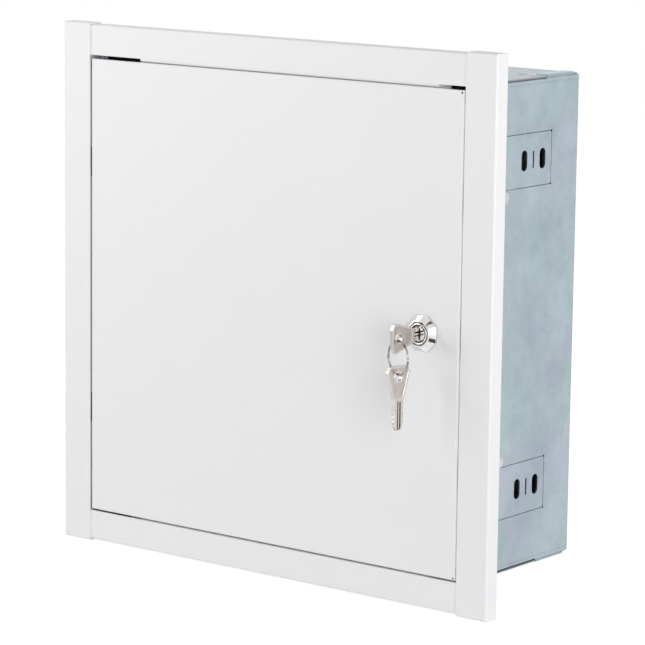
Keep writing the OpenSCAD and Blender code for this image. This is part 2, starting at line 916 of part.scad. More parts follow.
// Outline of the bow, x along the key from its outer end
module bow_outline(inset = 0) {
    corner = 4;
    hull() {
        translate([corner, 0]) for (side = [-1, 1])
            translate([0, side * (bow_w / 2 - corner)]) circle(corner - inset, $fn = 24);
        translate([bow_l - 3, 0]) for (side = [-1, 1])
            translate([0, side * (blade_w / 2 + 1 - 2)]) circle(2 - min(inset, 1.6), $fn = 24);
    }
}

// Cuts along one edge of the blade, with the depth of each
module bitting(depths) {
    step = (blade_l - 7) / len(depths);
    for (i = [0 : len(depths) - 1])
        translate([bow_l + 6 + i * step, blade_w / 2]) rotate(45)
            square(depths[i] * sqrt(2), center = true);
}

// A key, flat in the XY plane: bow at x = 0, tip at the far end
module key() {
    tip = 4;
    difference() {
        linear_extrude(key_t, center = true) difference() {
            union() {
                bow_outline();
                translate([bow_l - 2, -blade_w / 2]) square([blade_l + 2 - tip, blade_w]);
                translate([bow_l + blade_l - tip, 0])
                    polygon([[0, -blade_w / 2], [tip, -blade_w / 5], [tip, blade_w / 5], [0, blade_w / 2]]);
            }
            translate([bow_hole_in, 0]) circle(d = bow_hole_d);
            bitting([0.8, 0.5, 1, 0.6]);
            mirror([0, 1]) bitting([0.5, 1, 0.7, 0.9]);
        }
        for (face = [-1, 1]) {
            translate([0, 0, face * key_t / 2]) linear_extrude(0.5, center = true) difference() {
                bow_outline(1.3);
                translate([bow_hole_in, 0]) circle(d = bow_hole_d + 2.6);
            }
            translate([bow_l + blade_l / 2 + 1.5, face * blade_w / 6, face * key_t / 2])
                cube([blade_l + 2, 1, 1], center = true);
        }
    }
}

module key_in_lock() {
    color(nickel) translate([lock_x, key_end_y, 0]) rotate([0, 90, 0]) rotate(90) key();
}

module key_ring() {
    split = 3;
    color(chrome) translate([lock_x, key_hole_y, ring_mid_z]) rotate(-ring_turn) rotate([90, 0, 0])
        rotate(split) rotate_extrude(angle = 360 - 2 * split) translate([ring_r, 0])
            circle(d = ring_wire, $fn = 24);
}

module spare_key() {
    color(nickel) translate([lock_x, key_hole_y, spare_hole_z]) rotate(-spare_turn)
        rotate([0, 90, 0]) translate([-bow_hole_in, 0, 0]) key();
}

body_shell();
top_wall();
bottom_wall();
top_rivets();
bottom_rivets();
plate_studs();
plate_spacers();
mounting_plate();
plate_washers();
plate_nuts();
earth_stud();
earth_washer();
earth_nut();
stile_left();
stile_right();
rail_top();
rail_bottom();
frame_arms_left();
frame_arms_right();
frame_screws();
clinch_nuts();
door_stops();
strike_plate();
hinge_lug_top();
hinge_lug_bottom();
hinge_leaf_top();
hinge_leaf_bottom();
hinge_pin_top();
hinge_pin_bottom();
hinge_spacers();
door_panel();
lock_housing();
lock_nut();
lock_plug();
lock_cam();
cam_washer();
cam_screw();
key_in_lock();
key_ring();
spare_key();
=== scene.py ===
# Recessed steel wall enclosure: a galvanised box that is built into a wall, a coated
# front frame, a flush door on hidden hinges, a cam lock, and two keys on a ring.

import json
import math

import bmesh
import bpy
from mathutils import Matrix, Vector


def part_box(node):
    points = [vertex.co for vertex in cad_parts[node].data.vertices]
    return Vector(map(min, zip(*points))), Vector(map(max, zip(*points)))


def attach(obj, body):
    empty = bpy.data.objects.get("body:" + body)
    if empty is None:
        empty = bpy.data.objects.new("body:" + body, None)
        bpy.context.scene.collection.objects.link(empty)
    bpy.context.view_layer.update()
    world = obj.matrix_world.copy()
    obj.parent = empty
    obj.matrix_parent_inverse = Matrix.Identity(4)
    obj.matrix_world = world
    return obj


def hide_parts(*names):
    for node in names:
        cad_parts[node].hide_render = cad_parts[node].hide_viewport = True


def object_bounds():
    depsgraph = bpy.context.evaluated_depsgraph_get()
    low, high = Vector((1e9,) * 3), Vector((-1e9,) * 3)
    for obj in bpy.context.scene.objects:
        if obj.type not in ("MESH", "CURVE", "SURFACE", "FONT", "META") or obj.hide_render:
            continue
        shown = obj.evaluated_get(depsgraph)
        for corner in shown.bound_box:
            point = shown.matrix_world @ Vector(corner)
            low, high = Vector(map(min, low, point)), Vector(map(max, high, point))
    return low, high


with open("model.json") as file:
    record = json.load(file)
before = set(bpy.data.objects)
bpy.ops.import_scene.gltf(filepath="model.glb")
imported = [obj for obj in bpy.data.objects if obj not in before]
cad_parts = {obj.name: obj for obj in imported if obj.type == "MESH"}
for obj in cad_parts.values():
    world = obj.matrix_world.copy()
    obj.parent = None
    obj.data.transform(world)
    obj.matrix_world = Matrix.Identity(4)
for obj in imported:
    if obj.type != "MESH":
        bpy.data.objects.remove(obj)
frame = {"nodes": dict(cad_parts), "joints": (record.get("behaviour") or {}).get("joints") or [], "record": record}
cad_box = [list(corner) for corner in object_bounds()]

# ---- Camera -------------------------------------------------------------------------
# A long lens a little over two metres away, to the right of the door and slightly
# above it, so that the front and the right side wall both show.

CAMERA_TURN = math.radians(37.77)      # to the right of the door's middle line
CAMERA_RISE = math.radians(9.83)
CAMERA_ROLL = math.radians(0.71)
CAMERA_PLACE = Vector((1.2515, -1.6770, 0.3388))
FOCAL_LENGTH = 176.9           # millimetres, on a sensor 36 mm wide

back = Vector((
    math.sin(CAMERA_TURN) * math.cos(CAMERA_RISE),
    -math.cos(CAMERA_TURN) * math.cos(CAMERA_RISE),
    math.sin(CAMERA_RISE),
))
level_right = Vector((math.cos(CAMERA_TURN), math.sin(CAMERA_TURN), 0))
level_up = back.cross(level_right)
right = level_right * math.cos(CAMERA_ROLL) + level_up * math.sin(CAMERA_ROLL)
up = back.cross(right)

lens = bpy.data.cameras.new("camera")
lens.lens = FOCAL_LENGTH
lens.sensor_width = 36
lens.clip_start = 0.05
lens.clip_end = 50
camera = bpy.data.objects.new("camera", lens)
bpy.context.scene.collection.objects.link(camera)
camera.matrix_world = Matrix((
    (right.x, up.x, back.x, 0),
    (right.y, up.y, back.y, 0),
    (right.z, up.z, back.z, 0),
    (0, 0, 0, 1),
))
camera.location = CAMERA_PLACE
bpy.context.scene.camera = camera
bpy.context.scene.view_settings.view_transform = "Standard"


# ---- Studio -------------------------------------------------------------------------
# A pale floor just under the frame, even light from all round, soft lamps on the left, on
# the right, overhead and far out beside the box. Dark cards, which only mirrors see, give
# the chrome something to show.

def tone(text, alpha=1.0):
    """An sRGB colour such as #aebcc6, as the linear colour that a socket takes"""
    channels = [int(text[i:i + 2], 16) / 255 for i in (1, 3, 5)]
    return tuple(c / 12.92 if c <= 0.04045 else ((c + 0.055) / 1.055) ** 2.4
                 for c in channels) + (alpha,)


def add(tree, kind, inputs=None, **settings):
    """Adds a shader node: settings go on the node, inputs on its sockets, as values or links"""
    made = tree.nodes.new("ShaderNode" + kind)
    for name, value in settings.items():
        setattr(made, name, value)
    for socket, value in (inputs or {}).items():
        if isinstance(value, bpy.types.NodeSocket):
            tree.links.new(value, made.inputs[socket])
        else:
            made.inputs[socket].default_value = value
    return made


def finish_named(name):
    """An empty material, its node tree and its Object coordinates"""
    material = bpy.data.materials.new(name)
    material.use_nodes = True
    material.node_tree.nodes.clear()
    return material, material.node_tree, add(material.node_tree, "TexCoord").outputs["Object"]


def placed(bm, name, material):
    """Turns a finished bmesh into a piece of one material, and links it"""
    mesh = bpy.data.meshes.new(name)
    bm.to_mesh(mesh)
    bm.free()
    mesh.materials.append(material)
    piece = bpy.data.objects.new(name, mesh)
    bpy.context.scene.collection.objects.link(piece)
    return piece


def seen_directly(tree):
    """1 for camera, mirror and glass rays, and 0 for the rays that light the object"""
    rays = add(tree, "LightPath").outputs
    seen = add(tree, "Math", {0: rays["Is Camera Ray"], 1: rays["Is Glossy Ray"]},
               operation="MAXIMUM")
    return add(tree, "Math", {0: seen.outputs[0], 1: rays["Is Transmission Ray"]},
               operation="MAXIMUM").outputs[0]


AMBIENT = 0.37                 # even light on the object
FLOOR_GAP = 0.0008             # below the frame's lower edge
FLOOR_REACH = 9.0              # half the floor's width
SHADOW_SHARE = 0.40            # how much of the floor's own shading the camera sees
FLOOR_GLOW = 1.44              # fills the rest up to white where no shadow falls

world = bpy.data.worlds.new("studio")
bpy.context.scene.world = world
world.use_nodes = True
sky = world.node_tree
sky.nodes.clear()
even = add(sky, "Background", {"Color": tone("#ffffff"), "Strength": AMBIENT})
white = add(sky, "Background", {"Color": tone("#ffffff"), "Strength": 1.0})
both = add(sky, "MixShader", {0: seen_directly(sky), 1: even.outputs[0], 2: white.outputs[0]})
add(sky, "OutputWorld", {"Surface": both.outputs[0]})

pale, tree, _ = finish_named("pale_floor")
matt = add(tree, "BsdfDiffuse", {"Color": tone("#f4f4f4")})
glow = add(tree, "Emission", {"Color": tone("#ffffff"), "Strength": FLOOR_GLOW})
share = add(tree, "Math", {0: seen_directly(tree), 1: 1 - SHADOW_SHARE}, operation="MULTIPLY")
mixed = add(tree, "MixShader", {0: share.outputs[0], 1: matt.outputs[0], 2: glow.outputs[0]})
add(tree, "OutputMaterial", {"Surface": mixed.outputs[0]})
bm = bmesh.new()
bmesh.ops.create_grid(bm, x_segments=1, y_segments=1, size=FLOOR_REACH)
bmesh.ops.translate(bm, verts=bm.verts, vec=(0, 0, cad_box[0][2] - FLOOR_GAP))
floor = placed(bm, "floor", pale)

for name, place, side, power in (      # metres and watts
    ("lamp_left", (-0.62, -0.80, 0.24), 0.5, 2.4),
    ("lamp_right", (1.25, -0.95, 0.22), 0.7, 7.4),
    ("lamp_over", (-0.58, -0.31, 0.96), 0.4, 2.0),
    ("lamp_side", (1.90, 0.10, 0.35), 0.8, 8.0),
):
    lamp = bpy.data.lights.new(name, "AREA")
    lamp.shape = "SQUARE"
    lamp.size = side
    lamp.energy = power
    stand = bpy.data.objects.new(name, lamp)
    bpy.context.scene.collection.objects.link(stand)
    stand.location = place
    stand.rotation_euler = (-Vector(place)).to_track_quat("-Z", "Y").to_euler()

dark, tree, _ = finish_named("dark_card")
shade = add(tree, "Emission", {"Color": tone("#4a4644"), "Strength": 1.0})
add(tree, "OutputMaterial", {"Surface": shade.outputs[0]})
for name, place, width, height in (
    ("card_over", (0.62, -0.77, 0.98), 0.42, 0.42),
    ("card_under", (0.286, -0.197, -0.170), 0.14, 0.14),
    ("card_before", (-0.37, -0.80, -0.13), 0.20, 0.20),
    ("card_behind", (-0.90, 1.00, 1.10), 0.5, 0.35),
):
    bm = bmesh.new()
    facing = (-Vector(place)).to_track_quat("Z", "Y").to_matrix().to_4x4()
    bmesh.ops.create_grid(bm, x_segments=1, y_segments=1, size=0.5)
    bmesh.ops.scale(bm, verts=bm.verts, vec=(width, height, 1))
    bmesh.ops.transform(bm, verts=bm.verts, matrix=Matrix.Translation(place) @ facing)
    card = placed(bm, name, dark)
    card.visible_camera = False
    card.visible_diffuse = False
    card.visible_shadow = False


# ---- Galvanised box -------------------------------------------------------------------
# One folded sheet of 1 mm steel makes the rear and side walls, and two more are riveted
# on as top and bottom walls. Hot-dip galvanised coil, as rolled, with a fine spangle.

SPANGLE = 0.007                # width of one zinc crystal
CLOUD = 0.045                  # width of the cloudy patches in the zinc
ROLL_LINE = 0.0012             # spacing of the rolling lines, coarse enough to show
ROLL_LENGTH = 0.125            # how far a rolling line runs
GRIT = 0.0016                  # the finest mottling, coarse enough to show
WARP = 0.004                   # how much the crystals' edges wander
TINT = 0.34                    # share of the drifting tint in the colour
WALL_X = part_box("body_shell")[1][0]
FOLD_SHADE_WIDTH = 0.0022                  # width of the strip of painted shade on the outside of a fold
END_PAINTED_SHEEN = 1.35               # painted sheen: the outer faces of the top and bottom, and the tabs on them, are painted brighter
END_SKIN = 0.0001              # what reaches this near their outer faces counts as theirs
SHADE_LINE_Z = 0.1512             # a faint line of painted shade along the side walls, near their top and bottom folds
SHADE_LINE_HALF = 0.0003          # half its width, without its soft edges


def galvanised(name, light, shade, rolled_along):
    """Hot-dip zinc on steel: blue-grey crystals with soft edges, clouded, faintly rolled, with painted shade along
    the side walls' folds and a painted sheen on the outer end faces
    """
    material, tree, place = finish_named(name)
    warp = add(tree, "TexNoise", {"Vector": place, "Scale": 1 / SPANGLE, "Detail": 2.0})
    bent = add(tree, "MixRGB", {0: WARP, 1: place, 2: warp.outputs["Color"]}, blend_type="ADD")
    crystal = add(tree, "TexVoronoi", {"Vector": bent.outputs[0], "Scale": 1 / SPANGLE})
    cloud = add(tree, "TexNoise", {"Vector": place, "Scale": 1 / CLOUD, "Detail": 5.0,
                                   "Roughness": 0.6})
    stretch = [1 / ROLL_LINE] * 3
    stretch["XYZ".index(rolled_along)] = 1 / ROLL_LENGTH
    lines = add(tree, "Mapping", {"Vector": place, "Scale": stretch})
    line = add(tree, "TexNoise", {"Vector": lines.outputs[0], "Scale": 1.0, "Detail": 3.0})
    grain = add(tree, "SeparateColor", {0: crystal.outputs["Color"]})
    soft = add(tree, "MapRange", {"Value": cloud.outputs[0], "From Min": 0.3, "From Max": 0.7})
    zinc = add(tree, "MixRGB", {0: soft.outputs[0], 1: tone(shade), 2: tone(light)})
    green = add(tree, "TexNoise", {"Vector": place, "Scale": 0.6 / CLOUD, "Detail": 3.0})
    drift = add(tree, "MapRange", {"Value": green.outputs[0], "From Min": 0.38, "From Max": 0.62})
    tint = add(tree, "MixRGB", {0: drift.outputs[0], 1: tone("#b2b1bf"), 2: tone("#a3bcb8")})
    zinc = add(tree, "MixRGB", {0: TINT, 1: zinc.outputs[0], 2: tint.outputs[0]})
    grit = add(tree, "TexNoise", {"Vector": place, "Scale": 1 / GRIT, "Detail": 2.0})
    fleck = add(tree, "MapRange", {"Value": grit.outputs[0], "To Min": 0.91, "To Max": 1.09})
    zinc = add(tree, "VectorMath", {0: zinc.outputs[0], "Scale": fleck.outputs[0]},
               operation="SCALE")
    glint = add(tree, "MapRange", {"Value": grain.outputs[0], "To Min": 0.965, "To Max": 1.03})
    streak = add(tree, "MapRange", {"Value": line.outputs[0], "To Min": 0.96, "To Max": 1.04})
    both = add(tree, "Math", {0: glint.outputs[0], 1: streak.outputs[0]}, operation="MULTIPLY")
    zinc = add(tree, "VectorMath", {0: zinc.outputs[0], "Scale": both.outputs[0]},
               operation="SCALE")
    axes = add(tree, "SeparateXYZ", {0: place})
    out_x = add(tree, "Math", {0: axes.outputs["X"]}, operation="ABSOLUTE")
    out_z = add(tree, "Math", {0: axes.outputs["Z"]}, operation="ABSOLUTE")
    # Painted shade: the side walls are darkened along their folds at the rear, top and bottom, and along a line
    # near the top and bottom folds.
    near_side = add(tree, "MapRange", {"Value": out_x.outputs[0], "From Min": WALL_X - FOLD_SHADE_WIDTH,
                                       "From Max": WALL_X - 0.3 * FOLD_SHADE_WIDTH})
    near_rear = add(tree, "MapRange", {"Value": axes.outputs["Y"], "From Min": -FOLD_SHADE_WIDTH,
                                       "From Max": -0.3 * FOLD_SHADE_WIDTH})
    near_end = add(tree, "MapRange", {"Value": out_z.outputs[0],
                                      "From Min": WALL_X - 0.8 * FOLD_SHADE_WIDTH,
                                      "From Max": WALL_X - 0.4 * FOLD_SHADE_WIDTH})
    near_end = add(tree, "Math", {0: near_end.outputs[0], 1: near_rear.outputs[0]},
                   operation="MAXIMUM")
    fold_shade = add(tree, "Math", {0: near_side.outputs[0], 1: near_end.outputs[0]},
               operation="MULTIPLY")
    off_line = add(tree, "Math", {0: out_z.outputs[0], 1: SHADE_LINE_Z}, operation="SUBTRACT")
    off_line = add(tree, "Math", {0: off_line.outputs[0]}, operation="ABSOLUTE")
    shade_line = add(tree, "MapRange", {"Value": off_line.outputs[0], "From Min": SHADE_LINE_HALF,
                                     "From Max": 3 * SHADE_LINE_HALF, "To Min": 0.35,
                                     "To Max": 0.0})
    shade_line = add(tree, "Math", {0: shade_line.outputs[0], 1: near_side.outputs[0]},
                  operation="MULTIPLY")
    shade_mask = add(tree, "Math", {0: fold_shade.outputs[0], 1: shade_line.outputs[0]}, operation="MAXIMUM")
    shade_scale = add(tree, "MapRange", {"Value": shade_mask.outputs[0], "To Min": 1.0, "To Max": 0.70})
    zinc = add(tree, "VectorMath", {0: zinc.outputs[0], "Scale": shade_scale.outputs[0]},
               operation="SCALE")
    # Painted sheen: the outer faces at the top and bottom are painted brighter, for the glint of light on them.
    end = add(tree, "MapRange", {"Value": out_z.outputs[0], "From Min": WALL_X - 3 * END_SKIN,
                                 "From Max": WALL_X - END_SKIN, "To Min": 1.0,
                                 "To Max": END_PAINTED_SHEEN})
    zinc = add(tree, "VectorMath", {0: zinc.outputs[0], "Scale": end.outputs[0]},
               operation="SCALE")
    rough = add(tree, "MapRange", {"Value": grain.outputs[1], "To Min": 0.36, "To Max": 0.46})
    height = add(tree, "Math", {0: line.outputs[0], 1: cloud.outputs[0]}, operation="ADD")
    bump = add(tree, "Bump", {"Height": height.outputs[0], "Strength": 0.10, "Distance": 0.0002})
    shader = add(tree, "BsdfPrincipled", {
        "Base Color": zinc.outputs[0],
        "Metallic": 0.9,
        "Roughness": rough.outputs[0],
        "Normal": bump.outputs[0],
    })
    add(tree, "OutputMaterial", {"Surface": shader.outputs[0]})
    return material


def dress(material, *nodes):
    """Gives a finish to pieces whose shape is already right"""
    for name in nodes:
        for held in frame["nodes"][name].material_slots:
            held.material = material


dress(galvanised("galvanised_coil", "#b4c3cb", "#97a7b0", "Z"), "body_shell")
# The top and bottom walls take darker colours than the side walls: painted shade, for the duller light that their
# faces reflect.
dress(galvanised("galvanised_coil_across_painted_dark", "#9ea2a6", "#8d9297", "X"), "top_wall", "bottom_wall")


# ---- Bright zinc plate ------------------------------------------------------------------
# Rivets, nuts, screws, hinges and brackets are electroplated with zinc and passivated,
# which leaves them brighter and slightly bluer than the sheet, with fine tool marks. The
# hinges' pins, spacers and lugs are painted nearly black, as painted shade in the notch.

TOOL_MARK = 0.0006             # spacing of the tool marks, coarse enough to show
MARK_LENGTH = 0.025            # how far a tool mark runs
HAZE = 0.00625                 # width of the patches of haze, coarse enough to show


def zinc_plated(name, light, shade, mark_along):
    """Electroplated zinc: bright, with fine marks along the way that the tool went"""
    material, tree, place = finish_named(name)
    stretch = [1 / TOOL_MARK] * 3
    stretch["XYZ".index(mark_along)] = 1 / MARK_LENGTH
    lines = add(tree, "Mapping", {"Vector": place, "Scale": stretch})
    mark = add(tree, "TexNoise", {"Vector": lines.outputs[0], "Scale": 1.0, "Detail": 2.0})
    haze = add(tree, "TexNoise", {"Vector": place, "Scale": 1 / HAZE, "Detail": 4.0})
    steel = add(tree, "MixRGB", {0: haze.outputs[0], 1: tone(shade), 2: tone(light)})
    rough = add(tree, "MapRange", {"Value": haze.outputs[0], "To Min": 0.22, "To Max": 0.38})
    bump = add(tree, "Bump", {"Height": mark.outputs[0], "Strength": 0.12, "Distance": 0.0001})
    shader = add(tree, "BsdfPrincipled", {
        "Base Color": steel.outputs[0],
        "Metallic": 1.0,
        "Roughness": rough.outputs[0],
        "Normal": bump.outputs[0],
    })
    add(tree, "OutputMaterial", {"Surface": shader.outputs[0]})
    return material


bright_zinc = zinc_plated("bright_zinc", "#d9dde0", "#bcc1c5", "Z")      # turned, shiny
pressed_zinc = zinc_plated("pressed_zinc", "#c6cbce", "#aab0b4", "X")    # pressed, greyer
zinc_painted_dark = zinc_plated("zinc_painted_dark", "#54575a", "#3b3e41", "Z")        # nearly black: painted shade
dress(bright_zinc, "plate_spacers")
dress(pressed_zinc, "frame_arms_left", "frame_arms_right", "strike_plate", "hinge_leaf_top",
      "hinge_leaf_bottom", "lock_cam")
dress(zinc_painted_dark, "hinge_pin_top", "hinge_pin_bottom", "hinge_spacers", "hinge_lug_top",
      "hinge_lug_bottom")


# ---- Rivets, nuts and washers -------------------------------------------------------------
# Small turned and pressed parts, all with their edges broken by barrelling, so each is
# its solid again with eased edges.

SHARP = math.radians(35)       # an edge that turns more than this is eased
LEVEL = math.radians(0.6)      # triangles that turn less than this are one face
CREASE = math.radians(28)      # an edge that turns more than this isn't shaded smooth
MERGE = 2e-6                   # points nearer than this are one point
BODY_OF = {node: body for body, nodes in frame["record"]["behaviour"]["bodies"].items()
           for node in nodes}


def eased(node, width, material):
    """The solid of a node with its sharp edges eased, which then stands for the node"""
    source = frame["nodes"][node]
    bm = bmesh.new()
    bm.from_mesh(source.data)
    bmesh.ops.remove_doubles(bm, verts=bm.verts, dist=MERGE)
    bmesh.ops.dissolve_limit(bm, angle_limit=LEVEL, use_dissolve_boundaries=False,
                             verts=bm.verts, edges=bm.edges, delimit={"NORMAL"})
    sharp = [e for e in bm.edges if len(e.link_faces) == 2 and e.calc_face_angle(0) > SHARP]
    bmesh.ops.bevel(bm, geom=sharp, offset=width, offset_type="OFFSET", segments=2,
                    profile=0.5, affect="EDGES", material=-1, clamp_overlap=False)
    bmesh.ops.remove_doubles(bm, verts=bm.verts, dist=MERGE)
    piece = placed(bm, node + "_eased", material)
    piece.data.shade_smooth()
    piece.data.set_sharp_from_angle(angle=CREASE)
    flatten = piece.modifiers.new("flat_faces", "WEIGHTED_NORMAL")
    flatten.keep_sharp = True
    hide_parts(node)
    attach(piece, BODY_OF[node])


EASE = 0.00025                 # the broken edge of a small part
for node in ("top_rivets", "bottom_rivets", "clinch_nuts", "plate_washers", "plate_nuts",
             "earth_washer", "earth_nut", "lock_nut", "cam_washer"):
    eased(node, EASE, bright_zinc)


# ---- Studs and screws -----------------------------------------------------------------------
# Zinc-plated steel: welded studs inside the box, clamp screws and the cam screw. The studs
# have rolled threads, each one ridge wound round its shank; the screws are left plain.

THREAD_DEPTH = 0.55            # of the pitch
ROOT = 0.06                    # where the flank leaves the root, as a share of the pitch
TOP = 0.42                     # where the flank meets the crest, as a share of the pitch
TURN_STEPS = 24                # faces round one turn
THREAD_CREASE = math.radians(40)    # the crest's and the flanks' edges stay sharp


def thread(name, start, along, radius, pitch, length, body, material):
    """A rolled thread: one closed ridge wound round a shank from start, rooted in the shank"""
    along = Vector(along)
    side = along.orthogonal().normalized()
    depth = THREAD_DEPTH * pitch
    turns = math.floor(length / pitch) - 1
    bm = bmesh.new()
    root = radius - depth
    profile = [(root, ROOT), (radius, TOP), (radius, 1 - TOP), (root, 1 - ROOT)]
    ridge = [bm.verts.new(Vector(start) + side * r + along * pitch * t) for r, t in profile]
    edges = [bm.edges.new(pair) for pair in zip(ridge, ridge[1:] + ridge[:1])]
    bmesh.ops.spin(bm, geom=ridge + edges, cent=start, axis=along, angle=math.tau * turns,
                   steps=TURN_STEPS * turns, dvec=along * pitch / TURN_STEPS,
                   use_duplicate=False)
    bmesh.ops.holes_fill(bm, edges=[e for e in bm.edges if e.is_boundary])
    bmesh.ops.recalc_face_normals(bm, faces=bm.faces)
    piece = placed(bm, name, material)
    piece.data.shade_smooth()
    piece.data.set_sharp_from_angle(angle=THREAD_CREASE)
    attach(piece, body)


for node in ("frame_screws", "cam_screw", "plate_studs", "earth_stud"):
    eased(node, EASE, bright_zinc)

PITCH = 0.001                  # pitch of an M6 thread
CREST = 0.00312                # its crests, just proud of the plain shank
FOOT_R = 0.00375               # radius of the weld disc at a stud's root
LEAD_IN = 0.0003               # plain chamfer at the free end
stud_low, stud_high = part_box("plate_studs")
stud_ends = [("plate_thread_" + name, x, z, stud_low[1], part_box("plate_nuts")[0][1])
             for name, x, z in (
                 ("low_left", stud_low[0] + FOOT_R, stud_low[2] + FOOT_R),
                 ("low_right", stud_high[0] - FOOT_R, stud_low[2] + FOOT_R),
                 ("high_left", stud_low[0] + FOOT_R, stud_high[2] - FOOT_R),
                 ("high_right", stud_high[0] - FOOT_R, stud_high[2] - FOOT_R),
             )]
earth_low, earth_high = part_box("earth_stud")
stud_ends.append(("earth_thread", (earth_low[0] + earth_high[0]) / 2,
                  (earth_low[2] + earth_high[2]) / 2, earth_low[1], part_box("earth_nut")[0][1]))
for name, x, z, free_end, nut_face in stud_ends:
    thread(name, (x, free_end + LEAD_IN, z), (0, 1, 0), CREST, PITCH,
           nut_face - free_end, "cabinet", bright_zinc)


# ---- Mounting plate -----------------------------------------------------------------------
# Galvanised plate with folded edges that carries the equipment inside the box. Four nuts
# hold it on the studs.

dress(galvanised("galvanised_plate", "#bcc6cc", "#aeb9bf", "Z"), "mounting_plate")


# ---- Coated frame and door ------------------------------------------------------------------
# Folded steel sheet with a white polyester powder coat, baked on: semi-gloss, with the
# very fine orange peel of such coats. The stiles lap over the rails.

PEEL = 0.0016                  # width of the orange peel's dimples, coarse enough to show
DRIFT = 0.2                    # how far apart the coat's tone changes a little


def powder_coat(name, colour, shade):
    """White polyester powder coat: semi-gloss and even, with a fine orange peel"""
    material, tree, place = finish_named(name)
    drift = add(tree, "TexNoise", {"Vector": place, "Scale": 1 / DRIFT, "Detail": 2.0})
    speck = add(tree, "TexNoise", {"Vector": place, "Scale": 1 / PEEL, "Detail": 2.0})
    coat = add(tree, "MixRGB", {0: drift.outputs[0], 1: tone(shade), 2: tone(colour)})
    rough = add(tree, "MapRange", {"Value": speck.outputs[0], "To Min": 0.36, "To Max": 0.44})
    bump = add(tree, "Bump", {"Height": speck.outputs[0], "Strength": 0.05, "Distance": 0.0001})
    shader = add(tree, "BsdfPrincipled", {
        "Base Color": coat.outputs[0],
        "Roughness": rough.outputs[0],
        "Normal": bump.outputs[0],
        "IOR": 1.5,
    })
    add(tree, "OutputMaterial", {"Surface": shader.outputs[0]})
    return material


white_coat = powder_coat("white_powder_coat", "#f2f2f3", "#efeff1")
dress(white_coat, "stile_left", "stile_right", "rail_top", "rail_bottom", "door_stops",
      "door_panel")


# ---- Collar behind the frame ------------------------------------------------------------------
# Strips of coated sheet, welded on behind the left stile and the lower rail, close the slit
# between frame and box. They leave out the arms, the lug and the door stop.

def collar_strip(name, low, high):
    """One strip of coated sheet with its edges broken, between two corners"""
    middle = (Vector(low) + Vector(high)) / 2
    bm = bmesh.new()
    bmesh.ops.create_cube(bm, size=1.0)
    bmesh.ops.scale(bm, verts=bm.verts, vec=Vector(high) - Vector(low))
    bmesh.ops.translate(bm, verts=bm.verts, vec=middle)
    bmesh.ops.bevel(bm, geom=bm.edges[:], offset=COLLAR_EASE, offset_type="OFFSET", segments=2,
                    profile=0.5, affect="EDGES", material=-1)
    piece = placed(bm, name, white_coat)
    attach(piece, "cabinet")


COLLAR_EASE = 0.00015          # the broken edges of a strip
SHEET = 0.0009                 # thickness of the strips
CLEAR = 0.0002                 # left between a strip and what it stands beside
rail_low, rail_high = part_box("rail_bottom")
arm_low, arm_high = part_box("frame_arms_left")
lug_low, lug_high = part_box("hinge_lug_bottom")
stop_low, stop_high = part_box("door_stops")
RAIL_BACK = lug_low[1]         # the back of the rails, where the lugs stand too
STILE_BACK = rail_low[1]       # the back of the stiles, where the rails lie
REAR_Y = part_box("body_shell")[0][1] - CLEAR
ARM_W = 0.020                  # width of a frame arm along the stile
SIDE_X = arm_high[0]           # the strips stand in line with the arms
FLOOR_Z = rail_high[2]         # the opening's lower edge
for name, foot, head in (
    ("collar_side_low", FLOOR_Z, arm_low[2] - CLEAR),
    ("collar_side_middle", arm_low[2] + ARM_W + CLEAR, arm_high[2] - ARM_W - CLEAR),
    ("collar_side_high", arm_high[2] + CLEAR, -FLOOR_Z - CLEAR),
):
    collar_strip(name, (SIDE_X - SHEET, STILE_BACK, foot), (SIDE_X, REAR_Y, head))
for name, start, end in (
    ("collar_foot_left", SIDE_X - SHEET, lug_low[0] - CLEAR),
    ("collar_foot_middle", lug_high[0] + CLEAR, stop_low[0] - CLEAR),
    ("collar_foot_right", stop_high[0] + CLEAR, -SIDE_X),
):
    collar_strip(name, (start, RAIL_BACK, FLOOR_Z - SHEET), (end, REAR_Y, FLOOR_Z))


# ---- Lock ---------------------------------------------------------------------------------
# Die-cast housing with an eight-sided bezel and a turning plug, both copper, nickel and
# chrome plated and polished on the front.

SMEARS = 220.0                 # finger marks per metre, so about 4.5 mm wide


def chrome_plated(name, light, shade):
    """Polished chrome with a faint haze of finger marks"""
    material, tree, place = finish_named(name)
    haze = add(tree, "TexNoise", {"Vector": place, "Scale": SMEARS, "Detail": 4.0})
    chrome = add(tree, "MixRGB", {0: haze.outputs[0], 1: tone(shade), 2: tone(light)})
    rough = add(tree, "MapRange", {"Value": haze.outputs[0], "To Min": 0.05, "To Max": 0.16})
    shader = add(tree, "BsdfPrincipled", {
        "Base Color": chrome.outputs[0],
        "Metallic": 1.0,
        "Roughness": rough.outputs[0],
    })
    add(tree, "OutputMaterial", {"Surface": shader.outputs[0]})
    return material


chrome = chrome_plated("polished_chrome", "#e2e1e0", "#d2d0cf")
for node, width in (("lock_housing", 0.0004), ("lock_plug", 0.0003)):
    eased(node, width, chrome)

housing_low, housing_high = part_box("lock_housing")
LOCK_X = (housing_low[0] + housing_high[0]) / 2
LOCK_Z = (housing_low[2] + housing_high[2]) / 2
LOCK_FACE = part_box("lock_plug")[0][1]
ROUND = 96                     # faces round a turned piece
BEAD_SIDES = 12                # faces round the section of a bead


